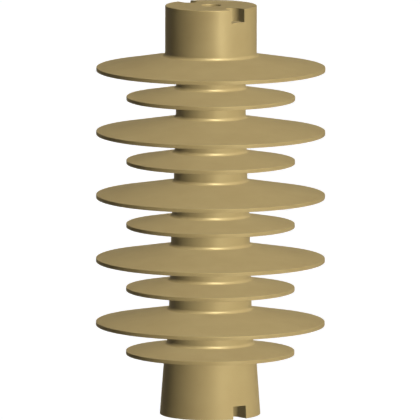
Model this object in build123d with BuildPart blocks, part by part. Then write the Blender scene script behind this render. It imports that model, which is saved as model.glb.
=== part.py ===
from build123d import *
from math import radians, tan
import os

# Support insulator for outdoor switchgear: a solid post of cast resin with ten sheds, and a threaded
# metal bush cast into each end. Z is up, the origin is the middle of the foot's underside, and the
# open notches at both ends lie along Y. All sizes are in millimetres and degrees.

# Post
post_height = 445.0
head_diameter = 99.0
foot_top_diameter = 99.0
foot_diameter = 108.9
end_edge_radius = 0.6

# Core between the sheds, from the foot up: one stretch between each two sheds
core_diameters = (93.2, 89.2, 87.3, 85.3, 83.4, 79.3, 77.6, 75.5, 75.0)

# Sheds, in pairs of a small one below a large one
small_shed_diameter = 182.2
large_shed_diameter = 247.4
lowest_shed_height = 69.2
pair_spacing = 31.7
pair_pitch = 69.2
shed_rim_thickness = 4.05
shed_top_slope = 10.0
shed_underside_slope = 3.0
shed_root_radius = 4.0

# Open notches in the rim of both ends, with a round inner end
notch_width = 17.2
notch_depth = 14.2
notch_end_offset = 39.5
notch_count = 2

# Mouth of the resin over each bush
mouth_diameter = 21.5
mouth_depth = 3.2

# Bush: hexagonal bar with turned grooves that hold it in the resin, drilled blind for an M20 thread
bush_across_flats = 32.0
bush_length = 44.0
bush_groove_diameter = 27.0
bush_groove_width = 6.0
bush_groove_count = 2
thread_core_diameter = 17.5
thread_depth = 34.0
thread_lead_in = 1.5
drill_point_angle = 118.0

# Planes of both ends, each facing out of the post, and the plane half way between them
head_face = Plane.XY.offset(post_height)
foot_face = Plane(origin=(0, 0, 0), z_dir=(0, 0, -1))
middle = Plane.XY.offset(post_height / 2)

# Widths of the post beside the sheds, from the foot up
widths = (foot_top_diameter, *core_diameters, head_diameter)


def shed_corners(level):
    """A shed's outline: its root underneath, out round the rim, and its root on top."""
    shed_diameter = large_shed_diameter if level % 2 else small_shed_diameter
    rim_top = lowest_shed_height + pair_pitch * (level // 2) + pair_spacing * (level % 2)
    rim_bottom = rim_top - shed_rim_thickness
    reach_below = (shed_diameter - widths[level]) / 2
    reach_above = (shed_diameter - widths[level + 1]) / 2
    return [
        (widths[level] / 2, rim_bottom + reach_below * tan(radians(shed_underside_slope))),
        (shed_diameter / 2, rim_bottom),
        (shed_diameter / 2, rim_top),
        (widths[level + 1] / 2, rim_top + reach_above * tan(radians(shed_top_slope))),
    ]


# Outside of the bush in the head, its end face level with the bottom of the mouth
bush_face_height = post_height - mouth_depth
bush_back_height = bush_face_height - bush_length
groove_pitch = bush_length / (bush_groove_count + 1)

with BuildPart() as bush_outside:
    with BuildSketch(Plane.XY.offset(bush_back_height)):
        RegularPolygon(bush_across_flats / 2, 6, major_radius=False)
    extrude(amount=bush_length)
    with BuildSketch(Plane.XZ):
        for groove in range(bush_groove_count):
            with Locations((bush_groove_diameter / 2, bush_back_height + groove_pitch * (groove + 1))):
                Rectangle(bush_across_flats, bush_groove_width, align=(Align.MIN, Align.CENTER))
    revolve(axis=Axis.Z, mode=Mode.SUBTRACT)

# The bush in the head, with its blind hole
hole_radius = thread_core_diameter / 2
hole_end_height = bush_face_height - thread_depth
drill_tip_height = hole_end_height - hole_radius / tan(radians(drill_point_angle / 2))

with BuildPart() as top_insert:
    add(bush_outside.part)
    with BuildSketch(Plane.XZ):
        with BuildLine():
            Polyline(
                (0, bush_face_height),
                (hole_radius + thread_lead_in, bush_face_height),
                (hole_radius, bush_face_height - thread_lead_in),
                (hole_radius, hole_end_height),
                (0, drill_tip_height),
                close=True,
            )
        make_face()
    revolve(axis=Axis.Z, mode=Mode.SUBTRACT)
top_insert.part.label = "top_insert"

# The same bush in the foot, facing down
with BuildPart() as bottom_insert:
    mirror(top_insert.part, about=middle)
bottom_insert.part.label = "bottom_insert"

# The casting: its outline turned round the axis, with the roots of the sheds rounded
with BuildPart() as insulator_body:
    with BuildSketch(Plane.XZ) as outline:
        with BuildLine():
            corners = [(0, 0), (foot_diameter / 2, 0)]
            for level in range(len(core_diameters) + 1):
                corners += shed_corners(level)
            corners += [(head_diameter / 2, post_height), (0, post_height)]
            Polyline(*corners, close=True)
        make_face()
        roots = outline.vertices().filter_by_position(Axis.X, min(widths) / 2, max(widths) / 2)
        fillet(roots.filter_by_position(Axis.Y, 0, post_height, (False, False)), radius=shed_root_radius)
        foot_corner = outline.vertices().group_by(Axis.Y)[0].sort_by(Axis.X)[-1]
        head_corner = outline.vertices().group_by(Axis.Y)[-1].sort_by(Axis.X)[-1]
        fillet([foot_corner, head_corner], radius=end_edge_radius)
    revolve(axis=Axis.Z)

    # Notches, each open at the end face and at the rim, and the mouth over the bush
    for end_face, rim_diameter in ((head_face, head_diameter), (foot_face, foot_diameter)):
        run_out = rim_diameter / 2 + notch_width
        with BuildSketch(end_face):
            with PolarLocations((notch_end_offset + run_out) / 2, notch_count, start_angle=90):
                SlotCenterToCenter(run_out - notch_end_offset, notch_width)
        extrude(amount=-notch_depth, mode=Mode.SUBTRACT)
        with BuildSketch(end_face):
            Circle(mouth_diameter / 2)
        extrude(amount=-mouth_depth, mode=Mode.SUBTRACT)

    # Seats of both bushes
    add(bush_outside.part, mode=Mode.SUBTRACT)
    mirror(bush_outside.part, about=middle, mode=Mode.SUBTRACT)
insulator_body.part.label = "insulator_body"

os.makedirs("parts", exist_ok=True)
export_step(insulator_body.part, "parts/insulator_body.step")
export_step(top_insert.part, "parts/top_insert.step")
export_step(bottom_insert.part, "parts/bottom_insert.step")
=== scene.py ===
from math import cos, pi, radians, sin, tan

import bmesh
import bpy
from mathutils import Matrix, Vector


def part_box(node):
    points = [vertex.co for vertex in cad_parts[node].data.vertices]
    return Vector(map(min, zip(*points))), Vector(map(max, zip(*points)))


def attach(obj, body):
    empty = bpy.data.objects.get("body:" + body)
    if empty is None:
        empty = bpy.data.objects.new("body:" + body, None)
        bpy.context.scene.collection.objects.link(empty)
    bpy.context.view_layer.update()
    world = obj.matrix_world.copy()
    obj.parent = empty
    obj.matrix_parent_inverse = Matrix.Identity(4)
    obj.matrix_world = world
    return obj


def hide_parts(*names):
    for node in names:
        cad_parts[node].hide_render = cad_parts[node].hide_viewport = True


# Support insulator for outdoor switchgear: a post of cast resin with ten sheds, five large ones each
# above a small one, two open notches in the rim of each end, and a threaded steel bush in each end.
# All lengths are in metres. Z is up, and the origin is the middle of the foot's underside.

MM = 0.001

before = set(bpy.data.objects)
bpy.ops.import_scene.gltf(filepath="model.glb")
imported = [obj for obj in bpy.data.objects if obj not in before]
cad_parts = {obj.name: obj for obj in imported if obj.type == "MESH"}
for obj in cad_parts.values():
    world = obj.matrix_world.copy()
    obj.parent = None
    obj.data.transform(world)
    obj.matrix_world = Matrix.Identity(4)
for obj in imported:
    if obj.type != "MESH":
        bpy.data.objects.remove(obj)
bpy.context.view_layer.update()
body_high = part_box("insulator_body")[1]
head_bush_low, head_bush_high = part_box("top_insert")
foot_bush_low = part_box("bottom_insert")[0]

# Post
POST_HEIGHT = body_high.z
HEAD_RADIUS = 49.5 * MM
FOOT_TOP_RADIUS = 49.5 * MM
FOOT_RADIUS = 54.45 * MM
END_EDGE_RADIUS = 0.6 * MM
END_FACE_RUN = 3.0 * MM

# Core between the sheds, from the foot up
CORE_RADII = [diameter / 2 * MM for diameter in (93.2, 89.2, 87.3, 85.3, 83.4, 79.3, 77.6, 75.5, 75.0)]

# Sheds
SMALL_SHED_RADIUS = 91.1 * MM
LARGE_SHED_RADIUS = body_high.x
LOWEST_SHED_HEIGHT = 69.2 * MM
PAIR_SPACING = 31.7 * MM
PAIR_PITCH = 69.2 * MM
SHED_RIM_THICKNESS = 4.05 * MM
SHED_TOP_SLOPE = tan(radians(10))
SHED_UNDERSIDE_SLOPE = tan(radians(3))
SHED_ROOT_RADIUS = 4.0 * MM
SHED_EDGE_RADIUS = 0.35 * MM

# Open notches and the mouths over the bushes
NOTCH_WIDTH = 17.2 * MM
NOTCH_DEPTH = 14.2 * MM
NOTCH_END_OFFSET = 39.5 * MM
NOTCH_FLOOR_RADIUS = 0.8 * MM
MOUTH_RADIUS = 10.75 * MM
MOUTH_DEPTH = POST_HEIGHT - head_bush_high.z
MOUTH_EDGE = 0.4 * MM
MOUTH_OVERLAP = 0.5 * MM

# Bush: hexagonal bar with turned grooves, and an M20 thread cut in its blind hole. A metric thread is
# 0.5413 of its pitch deep.
BUSH_SIDES = 6
BUSH_LENGTH = head_bush_high.z - head_bush_low.z
BUSH_CORNER_RADIUS = 16.0 * MM / cos(radians(30))
BUSH_GROOVE_RADIUS = 13.5 * MM
BUSH_GROOVE_WIDTH = 6.0 * MM
BUSH_GROOVE_COUNT = 2
HOLE_DEPTH = 34.0 * MM
THREAD_PITCH = 2.5 * MM
THREAD_MAJOR_RADIUS = 10.0 * MM
THREAD_MINOR_RADIUS = THREAD_MAJOR_RADIUS - 0.5413 * THREAD_PITCH
THREAD_FLANK_ANGLE = radians(30)
THREAD_ROOT_FLAT = THREAD_PITCH / 8
THREAD_LENGTH = 30.0 * MM
THREAD_OVERLAP = 0.2 * MM
THREAD_LEAD_IN = 0.25 * MM
DRILL_POINT_HALF_ANGLE = radians(59)

# How far the cutters reach past the surfaces that they cut
MOUTH_CUTTER_PAST = 5.0 * MM
GROOVE_CUTTER_PAST = 2.0 * MM
HOLE_CUTTER_PAST = 1.0 * MM

# Turning and rounding
POST_STEPS = 256
MOUTH_STEPS = 128
HOLE_STEPS = 64
ROOT_SEGMENTS = 6
RIM_SEGMENTS = 2
END_SEGMENTS = 3
NOTCH_FLOOR_SEGMENTS = 3
SHARP_ANGLE = radians(35)
MERGE_DISTANCE = 1e-7
TINY_LENGTH = 1e-6


def linear(hex_colour):
    """An sRGB hex value as the linear colour that a shader's socket takes."""
    channels = [int(hex_colour[i : i + 2], 16) / 255 for i in (1, 3, 5)]
    return [c / 12.92 if c <= 0.04045 else ((c + 0.055) / 1.055) ** 2.4 for c in channels] + [1.0]


def add_node(tree, kind, links=(), **settings):
    """A node with its settings. A setting with a capital letter is an input socket's value, others are
    the node's own. Each link is (input socket, source node, source socket)."""
    node = tree.nodes.new(kind)
    for name, value in settings.items():
        if name[0].isupper():
            node.inputs[name.replace("_", " ")].default_value = value
        else:
            setattr(node, name, value)
    for socket, source, output in links:
        tree.links.new(source.outputs[output], node.inputs[socket])
    return node


def new_material(name):
    """An empty node material."""
    material = bpy.data.materials.new(name)
    material.use_nodes = True
    material.node_tree.nodes.clear()
    return material, material.node_tree


def spin_closed(shape, steps):
    """Turns an outline once round the post's axis and closes the seam."""
    bmesh.ops.spin(
        shape,
        geom=shape.verts[:] + shape.edges[:],
        cent=(0, 0, 0),
        axis=(0, 0, 1),
        dvec=(0, 0, 0),
        angle=2 * pi,
        steps=steps,
        use_merge=True,
        use_duplicate=False,
    )
    bmesh.ops.remove_doubles(shape, verts=shape.verts[:], dist=MERGE_DISTANCE)


def polyline(shape, points):
    """Vertices at points in the XZ plane, joined one to the next."""
    corners = [shape.verts.new((x, 0, z)) for x, z in points]
    for one, other in zip(corners, corners[1:]):
        shape.edges.new((one, other))
    return corners


def closed_polyline(shape, points):
    """A polyline with its last point joined to its first."""
    corners = polyline(shape, points)
    shape.edges.new((corners[-1], corners[0]))
    return corners


def round_corners(shape, corners, radius, segments):
    """Rounds corners of a polyline with arcs of one radius."""
    for corner in corners:
        one, other = [edge.other_vert(corner).co - corner.co for edge in corner.link_edges]
        turn = pi - one.angle(other)
        bmesh.ops.bevel(
            shape,
            geom=[corner],
            offset=radius * tan(turn / 2),
            offset_type="OFFSET",
            affect="VERTICES",
            segments=segments,
            profile=0.5,
            material=-1,
            clamp_overlap=False,
        )


def mark_edges(shape):
    """Makes the faces smooth and the real edges sharp."""
    for face in shape.faces:
        face.smooth = True
    for edge in shape.edges:
        edge.smooth = not (len(edge.link_faces) == 2 and edge.calc_face_angle(0) > SHARP_ANGLE)


def finished(shape, name):
    """The bmesh as an object in the scene."""
    bmesh.ops.recalc_face_normals(shape, faces=shape.faces[:])
    mark_edges(shape)
    mesh = bpy.data.meshes.new(name)
    shape.to_mesh(mesh)
    shape.free()
    piece = bpy.data.objects.new(name, mesh)
    bpy.context.scene.collection.objects.link(piece)
    return piece


def cut_away(piece, cutters):
    """Takes the cutters' shapes out of the piece and removes the cutters."""
    for cutter in cutters:
        modifier = piece.modifiers.new("cut", "BOOLEAN")
        modifier.operation = "DIFFERENCE"
        modifier.solver = "EXACT"
        modifier.object = cutter
    depsgraph = bpy.context.evaluated_depsgraph_get()
    cut_mesh = bpy.data.meshes.new_from_object(piece.evaluated_get(depsgraph))
    cut_mesh.name = piece.name
    piece.modifiers.clear()
    piece.data = cut_mesh
    for cutter in cutters:
        bpy.data.objects.remove(cutter)


def post_outline(shape):
    """The post's outline from the foot's edge to the head's edge, with the roots of the sheds rounded."""
    widths = [FOOT_TOP_RADIUS, *CORE_RADII, HEAD_RADIUS]
    points = [(FOOT_RADIUS, 0.0)]
    roots, rims = [], []
    for level in range(len(widths) - 1):
        shed_radius = LARGE_SHED_RADIUS if level % 2 else SMALL_SHED_RADIUS
        rim_top = LOWEST_SHED_HEIGHT + PAIR_PITCH * (level // 2) + PAIR_SPACING * (level % 2)
        rim_bottom = rim_top - SHED_RIM_THICKNESS
        below, above = widths[level], widths[level + 1]
        roots += [len(points), len(points) + 3]
        rims += [len(points) + 1, len(points) + 2]
        points += [
            (below, rim_bottom + (shed_radius - below) * SHED_UNDERSIDE_SLOPE),
            (shed_radius, rim_bottom),
            (shed_radius, rim_top),
            (above, rim_top + (shed_radius - above) * SHED_TOP_SLOPE),
        ]
    points.append((HEAD_RADIUS, POST_HEIGHT))
    ends = [0, len(points) - 1]
    # A short run in along each end face gives the end's edge two sides to be rounded between
    inner = HEAD_RADIUS - END_FACE_RUN
    corners = polyline(shape, [(inner, 0.0), *points, (inner, POST_HEIGHT)])[1:-1]
    round_corners(shape, [corners[i] for i in roots], SHED_ROOT_RADIUS, ROOT_SEGMENTS)
    round_corners(shape, [corners[i] for i in rims], SHED_EDGE_RADIUS, RIM_SEGMENTS)
    round_corners(shape, [corners[i] for i in ends], END_EDGE_RADIUS, END_SEGMENTS)


def end_height(up):
    """The height of the head's face, where up is 1, or of the foot's, where it is -1."""
    return POST_HEIGHT if up > 0 else 0.0


def notch_cutter(outward, up):
    """A bar with a round inner end that cuts one open notch. Its round end is NOTCH_END_OFFSET from the
    axis, and it reaches past the rim and past the end face."""
    shape = bmesh.new()
    reach = FOOT_RADIUS + NOTCH_WIDTH - NOTCH_END_OFFSET
    height = NOTCH_DEPTH + NOTCH_WIDTH
    floor_height = end_height(up) - up * NOTCH_DEPTH
    bmesh.ops.create_circle(shape, cap_ends=True, radius=NOTCH_WIDTH / 2, segments=HOLE_STEPS)
    # The outer half of the circle is pulled out past the rim
    for corner in shape.verts:
        if corner.co.y * outward > TINY_LENGTH:
            corner.co.y = outward * reach
    bmesh.ops.remove_doubles(shape, verts=shape.verts[:], dist=MERGE_DISTANCE)
    bmesh.ops.translate(shape, verts=shape.verts[:], vec=(0, outward * NOTCH_END_OFFSET, 0))
    grown = bmesh.ops.extrude_face_region(shape, geom=shape.faces[:])
    top = [item for item in grown["geom"] if isinstance(item, bmesh.types.BMVert)]
    bmesh.ops.translate(shape, verts=top, vec=(0, 0, up * height))
    bmesh.ops.translate(shape, verts=shape.verts[:], vec=(0, 0, floor_height))
    floor_edges = [
        edge
        for edge in shape.edges
        if all(abs(corner.co.z - floor_height) < TINY_LENGTH for corner in edge.verts)
    ]
    bmesh.ops.bevel(
        shape,
        geom=floor_edges,
        offset=NOTCH_FLOOR_RADIUS,
        offset_type="OFFSET",
        affect="EDGES",
        segments=NOTCH_FLOOR_SEGMENTS,
        profile=0.5,
        material=-1,
        clamp_overlap=True,
    )
    return finished(shape, "notch_cutter")


def mouth_cutter(up):
    """A turned plug that cuts the mouth in one end face, with its edge broken. It reaches a little into
    the space of the bush, so that nothing is left between the two."""
    end = end_height(up)
    floor_height = end - up * (MOUTH_DEPTH + MOUTH_OVERLAP)
    past_end = end + up * MOUTH_CUTTER_PAST
    shape = bmesh.new()
    points = [
        (0.0, floor_height),
        (MOUTH_RADIUS, floor_height),
        (MOUTH_RADIUS, end - up * MOUTH_EDGE),
        (MOUTH_RADIUS + MOUTH_EDGE + MOUTH_CUTTER_PAST, past_end),
        (0.0, past_end),
    ]
    polyline(shape, points)
    spin_closed(shape, MOUTH_STEPS)
    return finished(shape, "mouth_cutter")


def bush_face(up):
    """The height of the face that one bush shows in its mouth."""
    return head_bush_high.z if up > 0 else foot_bush_low.z


def bush_bar(up, name):
    """The outside of one bush: a hexagonal bar with its turned grooves."""
    face = bush_face(up)
    back = face - up * BUSH_LENGTH
    shape = bmesh.new()
    bmesh.ops.create_cone(
        shape,
        cap_ends=True,
        segments=BUSH_SIDES,
        radius1=BUSH_CORNER_RADIUS,
        radius2=BUSH_CORNER_RADIUS,
        depth=BUSH_LENGTH,
    )
    bmesh.ops.translate(shape, verts=shape.verts[:], vec=(0, 0, (face + back) / 2))
    bar = finished(shape, name)
    groove_pitch = BUSH_LENGTH / (BUSH_GROOVE_COUNT + 1)
    cut_away(bar, [groove_cutter(back + up * groove_pitch * (n + 1)) for n in range(BUSH_GROOVE_COUNT)])
    return bar


def groove_cutter(height):
    """A ring that turns one groove in a bush."""
    shape = bmesh.new()
    half = BUSH_GROOVE_WIDTH / 2
    outer = BUSH_CORNER_RADIUS + GROOVE_CUTTER_PAST
    closed_polyline(
        shape,
        [
            (BUSH_GROOVE_RADIUS, height - half),
            (outer, height - half),
            (outer, height + half),
            (BUSH_GROOVE_RADIUS, height + half),
        ],
    )
    spin_closed(shape, HOLE_STEPS)
    return finished(shape, "groove_cutter")


def hole_cutter(face, up):
    """A turned plug that cuts one bush's blind hole, with the thread's lead-in and the drill's point."""
    shape = bmesh.new()
    past_face = face + up * HOLE_CUTTER_PAST
    lead_in = THREAD_MAJOR_RADIUS + THREAD_LEAD_IN
    polyline(
        shape,
        [
            (0.0, past_face),
            (lead_in + HOLE_CUTTER_PAST, past_face),
            (THREAD_MINOR_RADIUS, face - up * (lead_in - THREAD_MINOR_RADIUS)),
            (THREAD_MINOR_RADIUS, face - up * HOLE_DEPTH),
            (0.0, face - up * (HOLE_DEPTH + THREAD_MINOR_RADIUS / tan(DRILL_POINT_HALF_ANGLE))),
        ],
    )
    spin_closed(shape, HOLE_STEPS)
    return finished(shape, "hole_cutter")


def thread_cutter(face, up):
    """The helical groove of the thread, as one closed ridge from above the bush's face down."""
    shape = bmesh.new()
    inner = THREAD_MINOR_RADIUS - THREAD_OVERLAP
    half_root = THREAD_ROOT_FLAT / 2
    half_mouth = half_root + (THREAD_MAJOR_RADIUS - inner) * tan(THREAD_FLANK_ANGLE)
    start = face + up * THREAD_PITCH
    corners = closed_polyline(
        shape,
        [
            (inner, start - half_mouth),
            (THREAD_MAJOR_RADIUS, start - half_root),
            (THREAD_MAJOR_RADIUS, start + half_root),
            (inner, start + half_mouth),
        ],
    )
    shape.faces.new(corners)
    turns = THREAD_LENGTH / THREAD_PITCH + 1
    bmesh.ops.spin(
        shape,
        geom=shape.faces[:],
        cent=(0, 0, 0),
        axis=(0, 0, 1),
        dvec=(0, 0, -up * THREAD_PITCH / HOLE_STEPS),
        angle=-up * 2 * pi * turns,
        steps=int(HOLE_STEPS * turns),
        use_merge=False,
        use_duplicate=False,
    )
    return finished(shape, "thread_cutter")


def make_body():
    """The whole casting."""
    shape = bmesh.new()
    post_outline(shape)
    spin_closed(shape, POST_STEPS)
    bmesh.ops.holes_fill(shape, edges=[edge for edge in shape.edges if edge.is_boundary], sides=0)
    body = finished(shape, "insulator_casting")
    cutters = [notch_cutter(outward, up) for up in (1, -1) for outward in (1, -1)]
    cutters += [mouth_cutter(up) for up in (1, -1)]
    cutters += [bush_bar(up, "bush_space") for up in (1, -1)]
    cut_away(body, cutters)
    return body


def make_bush(up, name):
    """One bush, with its thread cut."""
    face = bush_face(up)
    bush = bush_bar(up, name)
    cut_away(bush, [hole_cutter(face, up), thread_cutter(face, up)])
    return bush


def sharpen(piece):
    """Joins the near points that the cuts left, marks the sharp edges that they made, and keeps flat faces
    flat up to their rounded edges."""
    shape = bmesh.new()
    shape.from_mesh(piece.data)
    bmesh.ops.remove_doubles(shape, verts=shape.verts[:], dist=TINY_LENGTH)
    mark_edges(shape)
    shape.to_mesh(piece.data)
    shape.free()
    flats = piece.modifiers.new("flat_faces", "WEIGHTED_NORMAL")
    flats.mode = "FACE_AREA"
    flats.weight = 100
    flats.keep_sharp = True


# Patterns of the finishes. The steel's tool rings are about 0.2 mm apart, too fine to show, and are
# drawn coarser. A wave texture of scale 1 makes 20 rings in 2 pi metres.
CLOUDING_SIZE = 30 * MM
GRAIN_SIZE = 0.6 * MM
GRAIN_HEIGHT = 0.02 * MM
TOOL_RING_SPACING = 1.57 * MM
TOOL_RING_HEIGHT = 0.01 * MM
WAVE_SCALE_OF_ONE_METRE = 2 * pi / 20


def cast_resin():
    """Cycloaliphatic cast resin filled with quartz flour, as it comes from a polished steel mould: khaki
    brown all through, satin, with a soft broad gloss that takes the resin's own colour."""
    material, tree = new_material("satin_cast_resin")
    place = add_node(tree, "ShaderNodeTexCoord")
    # Faint clouding where the filler settled
    clouding = add_node(
        tree,
        "ShaderNodeTexNoise",
        [("Vector", place, "Object")],
        Scale=1 / CLOUDING_SIZE,
        Detail=3.0,
        Roughness=0.5,
    )
    colour = add_node(tree, "ShaderNodeValToRGB", [("Fac", clouding, "Fac")])
    darker, lighter = colour.color_ramp.elements
    darker.position = 0.3
    darker.color = linear("#BAA26D")
    lighter.position = 0.7
    lighter.color = linear("#C0A973")
    # The mould's fine texture
    grain = add_node(
        tree,
        "ShaderNodeTexNoise",
        [("Vector", place, "Object")],
        Scale=1 / GRAIN_SIZE,
        Detail=2.0,
        Roughness=0.6,
    )
    bump = add_node(
        tree,
        "ShaderNodeBump",
        [("Height", grain, "Fac")],
        Strength=0.15,
        Distance=GRAIN_HEIGHT,
    )
    surface = add_node(
        tree,
        "ShaderNodeBsdfPrincipled",
        [("Base Color", colour, "Color"), ("Normal", bump, "Normal")],
        Roughness=0.42,
        IOR=1.55,
        Specular_Tint=linear("#FFE9AB"),
    )
    add_node(tree, "ShaderNodeOutputMaterial", [("Surface", surface, "BSDF")])
    return material


def turned_steel():
    """Bright free-cutting steel, turned: mid grey metal with fine tool rings round the axis."""
    material, tree = new_material("turned_steel")
    place = add_node(tree, "ShaderNodeTexCoord")
    rings = add_node(
        tree,
        "ShaderNodeTexWave",
        [("Vector", place, "Object")],
        wave_type="RINGS",
        rings_direction="Z",
        Scale=WAVE_SCALE_OF_ONE_METRE / TOOL_RING_SPACING,
        Distortion=0.4,
    )
    bump = add_node(
        tree,
        "ShaderNodeBump",
        [("Height", rings, "Fac")],
        Strength=0.3,
        Distance=TOOL_RING_HEIGHT,
    )
    surface = add_node(
        tree,
        "ShaderNodeBsdfPrincipled",
        [("Normal", bump, "Normal")],
        Base_Color=linear("#A9A7A1"),
        Metallic=1.0,
        Roughness=0.32,
    )
    add_node(tree, "ShaderNodeOutputMaterial", [("Surface", surface, "BSDF")])
    return material


# The piece for each CAD node, with its finish
body = make_body()
head_bush = make_bush(1, "head_bush")
foot_bush = make_bush(-1, "foot_bush")
resin = cast_resin()
steel = turned_steel()
for piece, node, slot, material in (
    (body, "insulator_body", "cast_resin", resin),
    (head_bush, "top_insert", "bush_steel", steel),
    (foot_bush, "bottom_insert", "bush_steel", steel),
):
    sharpen(piece)
    piece.data.materials.clear()
    piece.data.materials.append(material)
    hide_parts(node)
    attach(piece, "root")
    # The pieces throw no light and no gloss on each other, so that the gaps between the sheds stay clear
    piece.visible_diffuse = False
    piece.visible_glossy = False

# Camera. The picture is 420 pixels wide and shows 453.9 mm, with the post's axis 0.57 mm right of its
# middle. It looks down at 7.55 degrees, and a long lens keeps the sheds' outlines as flat as they are there.
PICTURE_WIDTH = 453.9 * MM
CAMERA_AZIMUTH = radians(-36.7)
CAMERA_ELEVATION = radians(7.55)
CAMERA_ROLL = radians(0.135)
AIM_HEIGHT = 222.1 * MM
AXIS_RIGHT_OF_MIDDLE = 0.57 * MM
LENS_MM = 1700
SENSOR_WIDTH_MM = 36
CAMERA_DISTANCE = PICTURE_WIDTH * LENS_MM / SENSOR_WIDTH_MM
NEAREST_SHOWN = 0.1
FARTHEST_SHOWN = 60


def toward(azimuth, elevation):
    """The direction from the post to something round it. Azimuth 0 is in front, and 90 to the right."""
    return Vector((sin(azimuth) * cos(elevation), -cos(azimuth) * cos(elevation), sin(elevation)))


def add_camera():
    """The camera at the photograph's angle."""
    lens = bpy.data.cameras.new("camera")
    lens.lens = LENS_MM
    lens.sensor_width = SENSOR_WIDTH_MM
    lens.clip_start = NEAREST_SHOWN
    lens.clip_end = FARTHEST_SHOWN
    camera = bpy.data.objects.new("camera", lens)
    bpy.context.scene.collection.objects.link(camera)
    bpy.context.scene.camera = camera
    back = toward(CAMERA_AZIMUTH, CAMERA_ELEVATION)
    level = (-back).to_track_quat("-Z", "Y").to_matrix().to_4x4()
    turned = level @ Matrix.Rotation(CAMERA_ROLL, 4, "Z")
    right = turned.to_3x3() @ Vector((1, 0, 0))
    aim = Vector((0, 0, AIM_HEIGHT)) - right * AXIS_RIGHT_OF_MIDDLE
    camera.matrix_world = Matrix.Translation(aim + back * CAMERA_DISTANCE) @ turned


add_camera()

# Light. Strength 1 lights a white surface that faces the lamp as white. The far lamps cast no shadows
# from shed to shed, and the room's dim light alone darkens the notches, the holes and the floor under
# the foot.
FACING_WHITE = pi


def add_lamp(name, kind, strength, sheen):
    """A lamp of one kind, which either lights the surfaces or shows as sheen in them."""
    lamp = bpy.data.lights.new(name, kind)
    lamp.energy = strength * FACING_WHITE
    holder = bpy.data.objects.new(name, lamp)
    holder.rotation_mode = "QUATERNION"
    holder.visible_diffuse = not sheen
    holder.visible_glossy = sheen
    bpy.context.scene.collection.objects.link(holder)
    return lamp, holder


def add_sun(name, azimuth, elevation, strength, size, sheen=False):
    """A far studio lamp. Its azimuth is in degrees to the right of the camera, and its size is the angle
    that it fills."""
    lamp, holder = add_lamp(name, "SUN", strength, sheen)
    lamp.angle = radians(size)
    lamp.use_shadow = False
    way = toward(CAMERA_AZIMUTH + radians(azimuth), radians(elevation))
    holder.rotation_quaternion = way.to_track_quat("Z", "Y")


# The key and its fills stand at the right. Two lamps at the back shine a little upward, past the sheds'
# sloping tops, and one below lights the sheds' undersides.
add_sun("key", azimuth=32, elevation=35, strength=0.535, size=5)
add_sun("high_key", azimuth=30, elevation=50, strength=0.18, size=10)
add_sun("right_fill", azimuth=56, elevation=30, strength=0.39, size=40)
add_sun("back_left_fill", azimuth=200, elevation=-10, strength=0.6, size=10)
add_sun("back_right_fill", azimuth=165, elevation=-10, strength=0.4, size=10)
add_sun("under_fill", azimuth=0, elevation=-90, strength=0.3, size=40)
# Sheen on the satin resin: two high lamps for the rounded roots of the sheds, and two a little below the
# horizon, out of sight of the sheds' tops, for the upright walls
add_sun("high_right_sheen", azimuth=33, elevation=62, strength=1.65, size=12, sheen=True)
add_sun("high_front_sheen", azimuth=12, elevation=45, strength=1.6, size=3, sheen=True)
add_sun("low_front_sheen", azimuth=25, elevation=-5, strength=0.195, size=10, sheen=True)
add_sun("low_right_sheen", azimuth=45, elevation=-5, strength=0.135, size=20, sheen=True)

# A spotlight close by, whose narrow beam adds sheen to the head's wall alone
SPOT_AZIMUTH = radians(25)
SPOT_DISTANCE = 0.6
SPOT_HEIGHT = 0.45
SPOT_AIM_HEIGHT = 0.425
SPOT_STRENGTH = 0.85
SPOT_SIZE = 0.06
SPOT_BEAM = radians(11)
SPOT_BLEND = 0.8
spot, spot_holder = add_lamp("head_sheen", "SPOT", SPOT_STRENGTH * 4 * pi * SPOT_DISTANCE**2, sheen=True)
spot.shadow_soft_size = SPOT_SIZE
spot.spot_size = SPOT_BEAM
spot.spot_blend = SPOT_BLEND
spot_holder.location = toward(CAMERA_AZIMUTH + SPOT_AZIMUTH, 0) * SPOT_DISTANCE
spot_holder.location.z = SPOT_HEIGHT
beam_back = spot_holder.location - Vector((0, 0, SPOT_AIM_HEIGHT))
spot_holder.rotation_quaternion = beam_back.to_track_quat("Z", "Y")

# The studio's room: its dim light, how white its ceiling and its floor show in gloss, and where the
# ceiling begins
WHITE = (1, 1, 1, 1)
ROOM_LIGHT = 0.08
CEILING_IN_GLOSS = 0.25
FLOOR_IN_GLOSS = 0.05
CEILING_FROM = radians(35)
CEILING_FULL = radians(60)
FLOOR_RADIUS = 12.0
FLOOR_STEPS = 64
FLOOR_GAP = 0.2 * MM
FLOOR_GLOW = 0.6


def shown_white(tree, path, in_gloss):
    """How white the studio is for a ray: all white to the eye and through glass, as much as in_gloss says
    in gloss, and not at all for the light that falls on the post."""
    eye = add_node(
        tree,
        "ShaderNodeMath",
        [(0, path, "Is Camera Ray"), (1, in_gloss, 0)],
        operation="MAXIMUM",
    )
    return add_node(
        tree,
        "ShaderNodeMath",
        [(0, eye, 0), (1, path, "Is Transmission Ray")],
        operation="MAXIMUM",
    )


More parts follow.
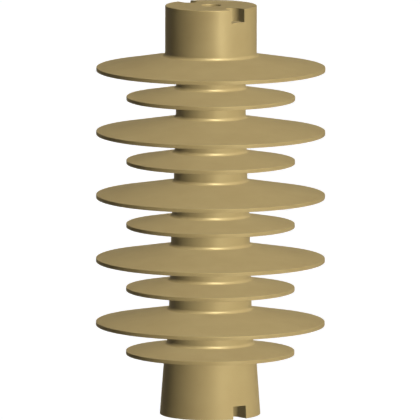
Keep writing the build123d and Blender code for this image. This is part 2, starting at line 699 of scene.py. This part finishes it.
def studio_world():
    """A studio that shows as white and lights the post only dimly."""
    world = bpy.data.worlds.new("studio")
    world.use_nodes = True
    tree = world.node_tree
    tree.nodes.clear()
    room = add_node(tree, "ShaderNodeBackground", Color=WHITE, Strength=ROOM_LIGHT)
    white = add_node(tree, "ShaderNodeBackground", Color=WHITE, Strength=1.0)
    place = add_node(tree, "ShaderNodeTexCoord")
    way = add_node(tree, "ShaderNodeSeparateXYZ", [("Vector", place, "Generated")])
    ceiling = add_node(
        tree,
        "ShaderNodeMapRange",
        [("Value", way, "Z")],
        From_Min=sin(CEILING_FROM),
        From_Max=sin(CEILING_FULL),
        To_Max=CEILING_IN_GLOSS,
    )
    path = add_node(tree, "ShaderNodeLightPath")
    in_gloss = add_node(
        tree,
        "ShaderNodeMath",
        [(0, path, "Is Glossy Ray"), (1, ceiling, "Result")],
        operation="MULTIPLY",
    )
    mix = add_node(
        tree,
        "ShaderNodeMixShader",
        [(0, shown_white(tree, path, in_gloss), 0), (1, room, "Background"), (2, white, "Background")],
    )
    add_node(tree, "ShaderNodeOutputWorld", [("Surface", mix, "Shader")])
    bpy.context.scene.world = world


def studio_floor():
    """A plain pale floor a hair under the foot, white to the eye and dim to the post. From below it can
    be seen through."""
    shape = bmesh.new()
    bmesh.ops.create_circle(shape, cap_ends=True, radius=FLOOR_RADIUS, segments=FLOOR_STEPS)
    bmesh.ops.translate(shape, verts=shape.verts[:], vec=(0, 0, -FLOOR_GAP))
    floor = finished(shape, "floor")
    material, tree = new_material("pale_floor")
    pale = add_node(tree, "ShaderNodeBsdfDiffuse", Color=(0.6, 0.6, 0.6, 1))
    glow = add_node(tree, "ShaderNodeEmission", Color=WHITE, Strength=FLOOR_GLOW)
    lit = add_node(tree, "ShaderNodeAddShader", [(0, pale, "BSDF"), (1, glow, "Emission")])
    dim = add_node(tree, "ShaderNodeBsdfDiffuse", Color=(0.1, 0.1, 0.1, 1))
    path = add_node(tree, "ShaderNodeLightPath")
    in_gloss = add_node(tree, "ShaderNodeMath", [(0, path, "Is Glossy Ray")], operation="MULTIPLY")
    in_gloss.inputs[1].default_value = FLOOR_IN_GLOSS
    mix = add_node(
        tree,
        "ShaderNodeMixShader",
        [(0, shown_white(tree, path, in_gloss), 0), (1, dim, "BSDF"), (2, lit, "Shader")],
    )
    side = add_node(tree, "ShaderNodeNewGeometry")
    clear = add_node(tree, "ShaderNodeBsdfTransparent")
    seen = add_node(
        tree,
        "ShaderNodeMixShader",
        [(0, side, "Backfacing"), (1, mix, "Shader"), (2, clear, "BSDF")],
    )
    add_node(tree, "ShaderNodeOutputMaterial", [("Surface", seen, "Shader")])
    floor.data.materials.append(material)


studio_world()
studio_floor()
bpy.context.scene.view_settings.view_transform = "Standard"
